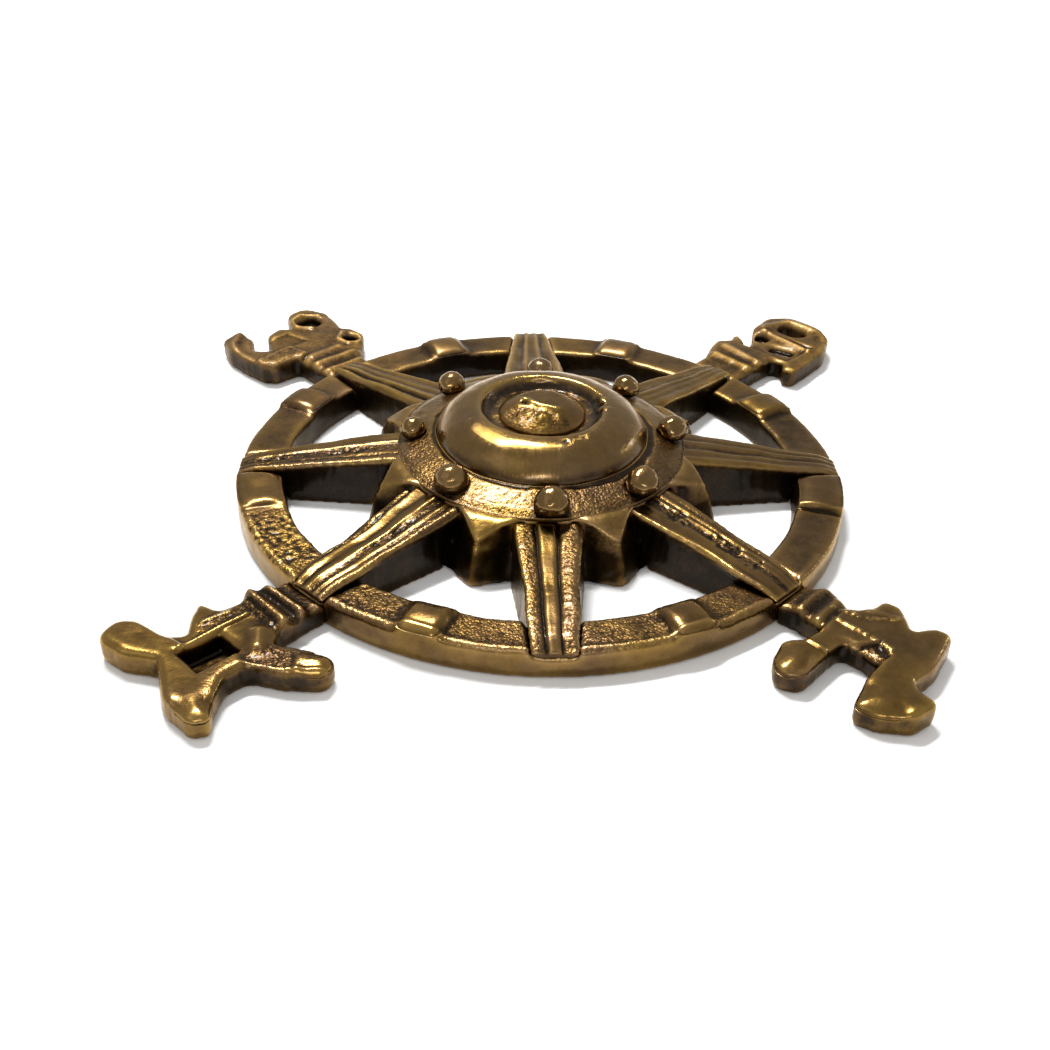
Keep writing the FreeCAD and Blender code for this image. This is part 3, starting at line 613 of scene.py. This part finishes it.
def carve_spoke(angle, profile, pits, widen):
    """Flutes by a height profile across the top, rough bands, pits and streaked walls."""
    at_back = 20.0 < angle < 160.0
    flute_gain = 1.5 if at_back else 1.0
    droop = 0.2 if at_back else 0.8
    flare = 0.75 if angle > 200.0 else 0.0
    seed = int(angle)
    across_heights, heights = zip(*profile)

    def carve(p, n):
        local = turned(p, angle)
        radius, across = local[:, 0], local[:, 1]
        share = clipped((radius - SPOKE_START) / SPOKE_LENGTH)
        half = SPOKE_START_HALF + (SPOKE_END_HALF - SPOKE_START_HALF) * share
        v = across / half
        ceiling = spoke_ceiling(radius)
        lift = step(p[:, 2], ceiling - 1.1, ceiling - 0.1)
        top = step(n[:, 2], 0.5, 0.85) * lift
        wall = 1.0 - top
        bend = 0.07 * wave(radius, 7.0, 300 + seed)
        shape = np.interp(v + bend, across_heights, heights)
        shape *= 1.0 + 0.45 * wave(radius, 5.0, 340 + seed, across * 4.0)
        height = lift * (FLUTE_DEPTH + flute_gain * shape * (1.0 - 0.25 * share))
        rough = np.zeros(len(p))
        for low, high, strength in pits:
            rough = np.maximum(rough, strength * band(v, low, high, 0.08))
        pitted = np.zeros(len(p))
        for near, far, low, high in SPOKE_PITS.get(angle, ()):
            pitted = np.maximum(pitted, band(v, low, high, 0.1) * band(radius, near, far, 1.0))
        pitted *= top * step(layered(p, 1.1, 27, 2), -0.15, 0.25)
        rough = np.maximum(rough * top, pitted)
        marks = streaks(p, 23)
        depth = rough * (grain(p, 17 + seed, 0.7) * 1.2) + 0.03 * layered(p, 2.2, 19)
        depth += 0.10 * wall * marks - 0.24 * pitted
        made = p + n * depth[:, None]
        made[:, 2] += height - droop * lift * step(radius, 56.0, 60.5)
        left, right = widen
        spread = np.where(across < 0.0, left, right) * (1.0 - 0.55 * share) * np.abs(v)
        shift_across(made, angle, np.sign(across) * spread)
        shift_across(made, angle, flare * step(radius, 45.0, 52.0) * lift * v)
        below = step(ceiling + 0.4 - p[:, 2], 0.0, 1.0)
        masks = {
            "cast": np.maximum(rough, 0.3 * wall),
            # Painted shade on the pits and down the walls below the top, streaked.
            "painted_shade": 0.45 * pitted + wall * below * (0.74 + 0.3 * marks),
            "wear_and_highlight": clipped(0.25 * top * (1.0 - rough) + 0.15 * top),
        }
        return made, masks
    return carve


def carve_hub(p, n):
    """Star with worn points, hollows between them and a rough upper skin in front."""
    radius, angle = polar(p)
    top = step(n[:, 2], 0.35, 0.75)
    wall = 1.0 - top
    nearest_point = HALF_PITCH + SPOKE_PITCH * np.round((angle - HALF_PITCH) / SPOKE_PITCH)
    nearest_spoke = SPOKE_PITCH * np.round(angle / SPOKE_PITCH)
    cusp = bell(np.abs(arc_gap(angle, nearest_point)), 0.0, 7.0)
    upper = step(p[:, 2], 5.2, 8.2)
    front = step(np.abs(arc_gap(angle, 275.0)), 90.0, 30.0)
    rough = upper * (0.12 + 0.5 * front * step(layered(p, 4.5, 35), -0.2, 0.4))
    depth = 0.8 * rough * grain(p, 31, 0.75) + 0.16 * layered(p, 3.4, 33)
    hollow = bell(np.abs(arc_gap(angle, nearest_spoke)), 13.0, 3.5)
    depth -= 0.5 * wall * hollow * step(radius, 28.5, 31.0)
    made = p + n * depth[:, None]
    made[:, 2] -= 0.9 * step(radius, 29.5, 35.0) * step(p[:, 2], 6.0, 9.0)
    collar = bell(radius, 28.2, 1.0) * step(p[:, 2], 8.5, 10.0)
    made[:, :2] *= (1.0 - 0.7 * collar / radius)[:, None]
    made[:, 2] -= 0.05 * collar
    # Painted shade on the walls, streaked, lighter at the upper star points, and on the top
    # between the points.
    shade = wall * (0.84 + 0.2 * streaks(p, 37) - 0.5 * upper * cusp - 0.3 * upper)
    masks = {
        "cast": rough,
        "painted_shade": clipped(shade + 0.2 * upper * (1.0 - cusp)),
        "wear_and_highlight": clipped(upper * cusp * 0.45),
    }
    return made, masks


def carve_bezel(p, n):
    """Finely grained rough disc, crease round the dome, worn outer edge; painted shade in the
    crease, on walls and at rivets, painted highlight in front.
    """
    radius, angle = polar(p)
    top = step(n[:, 2], 0.45, 0.85)
    front = step(np.abs(arc_gap(angle, 255.0)), 130.0, 60.0)
    rough = top * step(radius, 21.4, 22.4) * (0.35 + 0.65 * front)
    depth = rough * (0.055 * pebbles(p, 0.62, 41) + 0.05 * layered(p, 1.8, 43) - 0.05)
    crease = 22.1 + 0.8 * bell(arc_gap(angle, 325.0), 0.0, 45.0) + 0.3 * noise(p, 2.0, 46)
    depth -= 0.5 * top * step(crease - radius, 0.0, 0.9) * (0.8 + 0.4 * noise(p, 3.0, 45))
    depth += 0.10 * layered(p, 4.0, 47)
    made = p + n * depth[:, None]
    edge = step(radius, 26.4, 28.0)
    made[:, :2] *= (1.0 + 0.35 * edge / radius)[:, None]
    made[:, 2] -= 0.35 * edge * top
    # Painted highlight on the front of the disc.
    painted_highlight = top * bell(arc_gap(angle, 248.0), 0.0, 26.0)
    in_crease = step(crease - radius, 0.0, 0.7)
    # Painted shade on the walls, in the crease round the dome and around the rivets.
    masks = {
        "cast": rough,
        "painted_shade": clipped(0.5 * (1.0 - top) + 0.95 * in_crease + 0.6 * rivet_shade(p)),
        "wear_and_highlight": clipped(0.35 * painted_highlight + 0.1 * top * front),
    }
    return made, masks


def carve_dome(p, n):
    """Polished shell: an uneven lip around the recess, a burr on it and two pits."""
    radius, angle = polar(p)
    recess = step(11.9 - radius, -0.2, 0.9)
    burr = bell(radius, 11.8, 0.9) * bell(arc_gap(angle, 4.0), 0.0, 22.0)
    depth = 0.08 * layered(p, 7.0, 51) + recess * (0.20 * layered(p, 2.0, 52) + 0.25)
    depth += burr * (0.65 * noise(p, 1.3, 53) + 0.1)
    for x, y, deep, width in DOME_PITS:
        depth -= deep * bell(np.hypot(p[:, 0] - x, p[:, 1] - y), 0.0, width)
    depth += 0.10 * bell(radius, 12.2, 0.5) * noise(p, 2.4, 54)
    # Painted shade in the recess, round its edge, beside the burr and in the crease at the dome's
    # foot.
    painted_shade = 0.12 * recess + 0.4 * bell(radius, 11.2, 0.6)
    painted_shade += 0.7 * bell(radius, 10.9, 0.6) * bell(arc_gap(angle, -2.0), 0.0, 20.0)
    painted_shade += 0.9 * step(radius, 19.7, 20.5)
    masks = {
        "cast": 0.3 * recess + 0.4 * burr,
        "painted_shade": clipped(painted_shade),
        "wear_and_highlight": 0.12 * (1.0 - recess),
    }
    return p + n * depth[:, None], masks


def carve_button(p, n):
    """Lumpy crown: a smooth back, a raised step across it with a painted highlight, rough lumps in
    front; painted shade on the lumps and low down.
    """
    flat = p[:, :2]
    up = step(p[:, 2], 17.4, 19.5)
    ridge = stroke(flat, [(-3.5, 0.5), (-1.8, -1.2), (-0.1, -2.2), (2.6, -3.1)], 0.6)
    front = step(-(flat[:, 1] + 2.6 + 0.35 * flat[:, 0]), 0.0, 1.4)
    dent = bell(np.hypot(flat[:, 0] + 3.6, flat[:, 1] + 0.5), 0.0, 0.6)
    lump = bell(np.hypot(flat[:, 0] + 0.2, flat[:, 1] + 5.2), 0.0, 1.0)
    depth = 0.10 * layered(p, 3.0, 61) + front * (0.30 * layered(p, 1.5, 62) - 0.25)
    depth += 0.5 * ridge - 0.55 * dent
    depth += 0.45 * lump
    made = p + n * (up * depth)[:, None]
    foot = step(20.2 - p[:, 2], 0.0, 2.6)
    made[:, :2] *= (1.0 + 0.30 * foot)[:, None]
    # Painted shade on the front lumps and low down; painted highlight along the step.
    masks = {
        "cast": clipped(0.2 + 0.6 * front),
        "painted_shade": clipped(0.25 * front + 0.35 * (1.0 - up)),
        "wear_and_highlight": clipped(0.2 + 0.5 * ridge + 0.3 * front * bell(flat[:, 0], 0.0, 2.0)),
    }
    return made, masks


def carve_rivet(p, n):
    """Uneven round heads, with painted shade where they meet the disc."""
    depth = 0.24 * layered(p, 2.6, 71) - 0.08
    # Painted shade at the foot of the heads.
    low = step(13.5 - p[:, 2], 0.0, 1.0)
    masks = {"cast": np.full(len(p), 0.12), "painted_shade": 0.9 * low, "wear_and_highlight": 0.1 * (1.0 - low)}
    return p + n * depth[:, None], masks


def finial_cap(p):
    """Trims a finial's relief to a plain top, ready for its own carving."""
    return np.minimum(p[:, 2], FINIAL_TOP)


def carve_finial(design):
    """Ridges, rough areas and beads from a design, filed walls and rounded edges."""
    angle = design["angle"]
    matt = design.get("matt", 0.0)

    def carve(p, n):
        local = turned(p, angle)[:, :2]
        along, across = local[:, 0], local[:, 1]
        top = step(n[:, 2], 0.5, 0.85) * step(p[:, 2], 3.4, 4.1)
        wall = 1.0 - top
        lift = step(p[:, 2], 2.4, FINIAL_TOP - 0.1)
        height = np.zeros(len(p))
        for corners, rise in design["areas"]:
            height += rise * inside(local, corners, 0.5)
        for path, width, rise in design["strokes"]:
            height += rise * stroke(local, path, width)
        rough = np.full(len(p), design["skin"])
        for corners, strength in design["rough"]:
            mask = inside(local, corners, 0.6)
            rough = rough * (1.0 - mask) + strength * mask
        for path, width in design.get("shiny", ()):
            rough *= 1.0 - stroke(local, path, width)
        beads = np.zeros(len(p))
        for path in design["beads"]:
            beads = np.maximum(beads, stroke(local, path, 0.45))
        depth = top * rough * grain(p, 81 + int(angle), 0.75) * 1.25
        depth += top * beads * (0.35 * pebbles(p, 0.8, 85) - 0.02)
        files = noise(np.column_stack([p[:, 0], p[:, 1], p[:, 2] * 0.12]), 0.8, 87)
        depth += 0.06 * wall * files + 0.10 * layered(p, 4.5, 88)
        depth += 0.15 * step(p[:, 2], 0.2, 1.2)
        gap_reach = 3.2
        gap = wall_gap(p, n, 3.4, gap_reach)
        crown = 0.45 * clipped(1.0 - gap / 1.7) ** 2
        for tip_along, tip_across, reach in design.get("worn", ()):
            away = np.hypot(along - tip_along, across - tip_across)
            spot = step(reach + 1.5 - away, 0.0, 3.0)
            crown = np.maximum(crown, spot * 0.85 * (1.0 - gap / gap_reach) ** 1.5)
        made = p + n * depth[:, None]
        made[:, 2] += lift * (height - crown)
        neck = step(66.5 - along, 0.0, 3.0)
        tips = step(along, 84.0, 89.0)
        # Painted shade on the walls, more at the neck, less at the tips, and on rough tops near
        # the neck.
        shade = wall * (design["wall"] + 0.35 * neck - 0.3 * tips + 0.2 * files)
        shade += 0.3 * top * rough * step(72.0 - along, 0.0, 4.0)
        worn = 0.35 * top * (1.0 - rough) + 0.4 * beads * top + 0.3 * wall * tips
        masks = {
            "cast": clipped(top * rough + 0.5 * beads * top + 0.15 * wall),
            "painted_shade": clipped(shade),
            "wear_and_highlight": clipped((1.0 - matt) * worn),
            "matt": matt,
        }
        return made, masks
    return carve


# ---------------------------------------------------------------- material

def brass(name, lift, gloss=0.25, brushed=0.0, coat=0.26):
    """Antique brass: golden where handling has worn it, brown on the skin, painted shade near
    black in hollows, on walls and underneath, painted highlights on raised edges.
    """
    material = bpy.data.materials.new(name)
    material.use_nodes = True
    tree = material.node_tree
    nodes, links = tree.nodes, tree.links
    nodes.clear()
    out = nodes.new("ShaderNodeOutputMaterial")
    shader = nodes.new("ShaderNodeBsdfPrincipled")
    shader.inputs["Metallic"].default_value = 1.0
    shader.inputs["Specular Tint"].default_value = EDGE_TINT
    shader.inputs["Coat Weight"].default_value = coat
    shader.inputs["Coat Roughness"].default_value = COAT_ROUGHNESS
    shader.inputs["Coat IOR"].default_value = COAT_IOR
    links.new(shader.outputs["BSDF"], out.inputs["Surface"])
    place = nodes.new("ShaderNodeTexCoord").outputs["Object"]

    def field(attribute_name):
        node = nodes.new("ShaderNodeAttribute")
        node.attribute_name = attribute_name
        return node.outputs["Fac"]

    def maths(operation, a, b=None, c=None):
        node = nodes.new("ShaderNodeMath")
        node.operation = operation
        for socket, value in zip(node.inputs, (a, b, c)):
            if value is None:
                continue
            if isinstance(value, (int, float)):
                socket.default_value = value
            else:
                links.new(value, socket)
        return node.outputs[0]

    def plus(value, share, base):
        return maths("MULTIPLY_ADD", value, share, base)

    def texture(kind, scale, vector=None, **settings):
        node = nodes.new(kind)
        links.new(vector or place, node.inputs["Vector"])
        node.inputs["Scale"].default_value = scale
        for key, value in settings.items():
            node.inputs[key].default_value = value
        return node

    def fractal(scale, detail, roughness, vector=None):
        kind = "ShaderNodeTexNoise"
        return texture(kind, scale, vector, Detail=detail, Roughness=roughness).outputs["Fac"]

    def centred(value):
        return maths("SUBTRACT", value, 0.5)

    def wear_and_shade_ramp(tint):
        ramp = nodes.new("ShaderNodeValToRGB")
        links.new(level, ramp.inputs["Fac"])
        elements = ramp.color_ramp.elements
        elements[0].position = BRASS_STOPS[0][0]
        elements[1].position = BRASS_STOPS[-1][0]
        for position, _ in BRASS_STOPS[1:-1]:
            elements.new(position)
        for element, (_, shares) in zip(elements, BRASS_STOPS):
            element.color = tuple(t * s for t, s in zip(tint, shares)) + (1.0,)
        return ramp.outputs["Color"]

    # Masks: cast skin, painted shade, and wear with painted highlights in places.
    cast = field("cast")
    painted_shade = field("painted_shade")
    wear_and_highlight = field("wear_and_highlight")
    blotch = fractal(90.0, 5.0, 0.62)
    ripple = fractal(480.0, 4.0, 0.6)
    speck = fractal(1700.0, 3.0, 0.65)
    cells = texture("ShaderNodeTexVoronoi", 1900.0, Randomness=1.0).outputs["Distance"]
    grains = maths("MULTIPLY", maths("SUBTRACT", 0.5, cells), cast)

    # Place on the scale of wear, painted shade and painted highlight.
    level = PLAIN_LEVEL + lift
    for value, share in (
        (field("fine_wear_and_shade"), FINE_WEAR_AND_SHADE_SHARE),
        (field("broad_light_and_shade"), BROAD_LIGHT_AND_SHADE_SHARE),
        (wear_and_highlight, WEAR_AND_HIGHLIGHT_SHARE),
        (painted_shade, PAINTED_SHADE_SHARE),
        (centred(blotch), BLOTCH_SHARE),
        (centred(ripple), RIPPLE_SHARE),
        (cast, CAST_SHARE),
        (grains, GRAIN_SHARE),
        (centred(speck), plus(cast, 0.35, 0.12)),
    ):
        level = plus(value, share, level)

    # Colour: two tints, the browner one in patches and on rough skin.
    hue = plus(centred(fractal(60.0, 3.0, 0.6)), 3.0, 0.5)
    hue = plus(wear_and_highlight, -0.7, hue)
    hue = plus(cast, 0.2, hue)
    hue = maths("MAXIMUM", maths("MINIMUM", hue, 1.0), 0.0)
    blend = nodes.new("ShaderNodeMix")
    blend.data_type = "RGBA"
    links.new(hue, blend.inputs[0])
    links.new(wear_and_shade_ramp(TINT), blend.inputs[6])
    links.new(wear_and_shade_ramp(BROWN), blend.inputs[7])
    links.new(blend.outputs[2], shader.inputs["Base Color"])

    # Gloss and the finest grain.
    rough = plus(cast, 0.07, gloss)
    rough = plus(painted_shade, 0.2, rough)
    rough = plus(field("matt"), 0.3, rough)
    rough = plus(centred(blotch), 0.25, rough)
    height = plus(speck, plus(cast, 0.45, 0.04), maths("MULTIPLY", grains, 0.5))
    height = plus(ripple, 0.12 if brushed else 0.45, height)
    if brushed:
        split = nodes.new("ShaderNodeSeparateXYZ")
        links.new(place, split.inputs[0])
        x, y = split.outputs["X"], split.outputs["Y"]
        reach = maths("SQRT", maths("ADD", maths("POWER", x, 2.0), maths("POWER", y, 2.0)))
        round_trip = nodes.new("ShaderNodeCombineXYZ")
        links.new(maths("ARCTAN2", y, x), round_trip.inputs[0])
        links.new(maths("MULTIPLY", reach, 9.0), round_trip.inputs[1])
        strands = fractal(42.0, 4.0, 0.7, round_trip.outputs[0])
        height = plus(strands, brushed, height)
        rough = plus(centred(strands), 0.5, rough)
    links.new(rough, shader.inputs["Roughness"])
    bump = nodes.new("ShaderNodeBump")
    bump.inputs["Distance"].default_value = BUMP_DISTANCE
    bump.inputs["Strength"].default_value = BUMP_STRENGTH
    links.new(height, bump.inputs["Height"])
    links.new(bump.outputs["Normal"], shader.inputs["Normal"])
    return material


rim_brass = brass("rim_brass", -0.03)
spoke_brass = brass("spoke_brass", -0.06)
finial_brass = brass("finial_brass", -0.04)
polished_brass = brass("polished_brass", 0.12, gloss=0.17, brushed=0.35, coat=0.45)
rough_brass = brass("rough_brass", 0.03)
dark_brass = brass("dark_brass", 0.0)

# ---------------------------------------------------------------- pieces

sculpt("rim", 0.36, 12, carve_rim, rim_brass)
for node, angle in SPOKES.items():
    carve = carve_spoke(angle, *SPOKE_SKINS[node])
    sculpt(node, 0.26, 3, carve, spoke_brass, spoke_cap(angle))
sculpt("hub", 0.36, 10, carve_hub, dark_brass)
sculpt("bezel", 0.26, 4, carve_bezel, rough_brass)
sculpt("dome", 0.32, 4, carve_dome, polished_brass)
sculpt("centre_button", 0.22, 5, carve_button, rough_brass)
sculpt("rivets", 0.2, 3, carve_rivet, polished_brass)
for node, design in FINIAL_DESIGNS.items():
    sculpt(node, 0.28, 11, carve_finial(design), finial_brass, finial_cap)
for node in ("spoke_pins", "finial_pins"):
    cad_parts[node].data.materials.clear()
    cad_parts[node].data.materials.append(dark_brass)

# ---------------------------------------------------------------- studio

floor_mesh = bpy.data.meshes.new("floor")
corners = ((-1.0, -1.0), (1.0, -1.0), (1.0, 1.0), (-1.0, 1.0))
floor_points = [(FLOOR_REACH * x, FLOOR_REACH * y, 0.0) for x, y in corners]
floor_mesh.from_pydata(floor_points, [], [(0, 1, 2, 3)])
floor = bpy.data.objects.new("floor", floor_mesh)
bpy.context.scene.collection.objects.link(floor)
floor.location.z = -FLOOR_DROP
floor_paint = bpy.data.materials.new("floor_paint")
floor_paint.use_nodes = True
floor_shader = floor_paint.node_tree.nodes["Principled BSDF"]
floor_shader.inputs["Base Color"].default_value = FLOOR_COLOUR
floor_shader.inputs["Roughness"].default_value = 0.9
floor_shader.inputs["Specular IOR Level"].default_value = 0.1
floor_mesh.materials.append(floor_paint)


def softbox(name, azimuth, elevation, distance, width, height, power, colour):
    """Area light that looks at the object from an azimuth and an elevation."""
    light = bpy.data.lights.new(name, "AREA")
    light.shape = "RECTANGLE"
    light.size = width
    light.size_y = height
    light.energy = power
    light.color = colour
    lamp = bpy.data.objects.new(name, light)
    a, e = math.radians(azimuth), math.radians(elevation)
    back = Vector((math.sin(a) * math.cos(e), -math.cos(a) * math.cos(e), math.sin(e)))
    lamp.location = back * distance
    lamp.rotation_mode = "QUATERNION"
    lamp.rotation_quaternion = (-back).to_track_quat("-Z", "Y")
    bpy.context.scene.collection.objects.link(lamp)


for lamp_values in LAMPS:
    softbox(*lamp_values)

world = bpy.data.worlds.new("studio")
bpy.context.scene.world = world
world.use_nodes = True
world.node_tree.nodes["Background"].inputs["Color"].default_value = SKY_COLOUR
world.node_tree.nodes["Background"].inputs["Strength"].default_value = SKY_STRENGTH
bpy.context.scene.view_settings.view_transform = "Standard"

lens = bpy.data.cameras.new("camera")
lens.lens = CAMERA_LENS
lens.sensor_width = CAMERA_SENSOR
lens.clip_start = CAMERA_CLIP_START
camera = bpy.data.objects.new("camera", lens)
turn = Matrix((CAMERA_RIGHT, CAMERA_UP, CAMERA_BACK)).transposed()
camera.matrix_world = Matrix.Translation(CAMERA_PLACE) @ turn.to_4x4()
bpy.context.scene.collection.objects.link(camera)
bpy.context.scene.camera = camera

bpy.context.view_layer.update()
